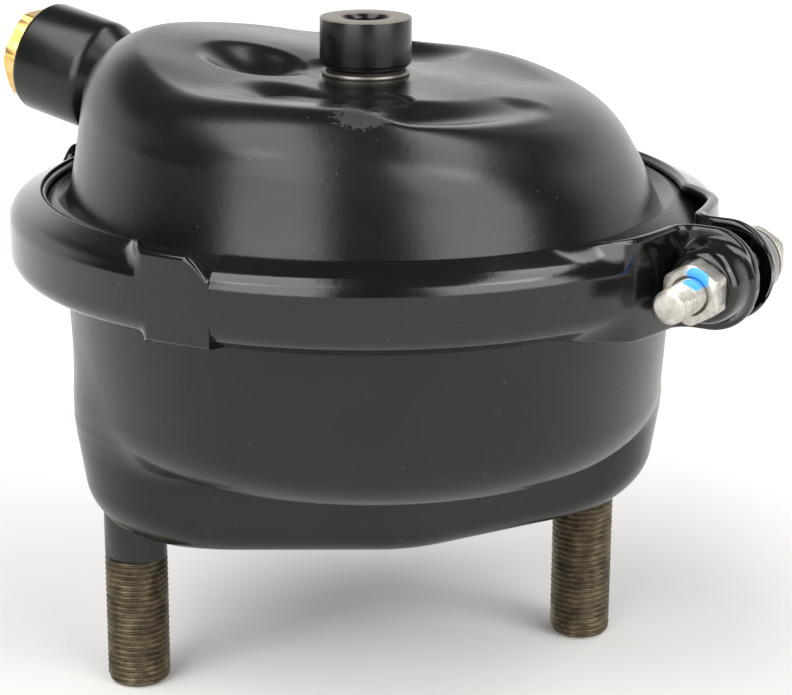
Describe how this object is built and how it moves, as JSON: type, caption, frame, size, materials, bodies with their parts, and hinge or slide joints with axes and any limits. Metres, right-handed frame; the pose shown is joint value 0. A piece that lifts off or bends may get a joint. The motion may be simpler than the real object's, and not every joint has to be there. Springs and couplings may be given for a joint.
{
  "type": "air brake chamber",
  "caption": "Diaphragm air brake chamber for a disc brake caliper: two pressed housings in a bolted clamp ring, two mounting studs, a capped top boss, an angled side port and a sprung push rod.",
  "frame": {"origin": "centre of the two-stud pattern on the mounting face", "axes": "+X along the line of the two studs, +Z along the push rod's axis from the mounting face up through the pressure housing, +Y to the side away from the pictured front"},
  "size_m": [0.1764, 0.1819, 0.1694],
  "materials": {
    "housing_paint": "satin black electrocoat paint over pressed steel",
    "clamp_paint": "gloss black paint over rolled steel",
    "phosphated_steel": "dark olive brown phosphate and oil",
    "plain_steel": "plain steel, lightly oiled",
    "spring_steel": "dark coated spring wire",
    "zinc_steel": "pale zinc plating",
    "brass": "turned yellow brass",
    "rubber": "matt black rubber"
  },
  "bodies": {
    "chamber": {"pressure_housing": "housing_paint", "central_port_boss": "housing_paint", "side_port_boss": "housing_paint", "side_port_fitting": "brass", "side_port_seal": "rubber", "non_pressure_housing": "housing_paint", "stud_plate": "phosphated_steel", "left_mounting_stud": "phosphated_steel", "right_mounting_stud": "phosphated_steel", "diaphragm": "rubber", "return_spring": "spring_steel", "seat_ring": "plain_steel", "dust_boot": "rubber", "face_seal": "rubber", "clamp_band": "clamp_paint", "clamp_bolt": "zinc_steel", "clamp_nut": "zinc_steel", "vent_plugs": "rubber"},
    "pushrod_assembly": {"push_plate": "plain_steel", "pushrod": "plain_steel"}
  },
  "joints": [
    {"name": "pushrod_stroke", "type": "slide", "parent": "chamber", "child": "pushrod_assembly", "axis": [0, 0, -1], "range_m": [0, 0.057], "stiffness_N_per_m": 2000, "springref_m": -0.045, "deforming": ["return_spring", "dust_boot", "diaphragm"]}
  ]
}
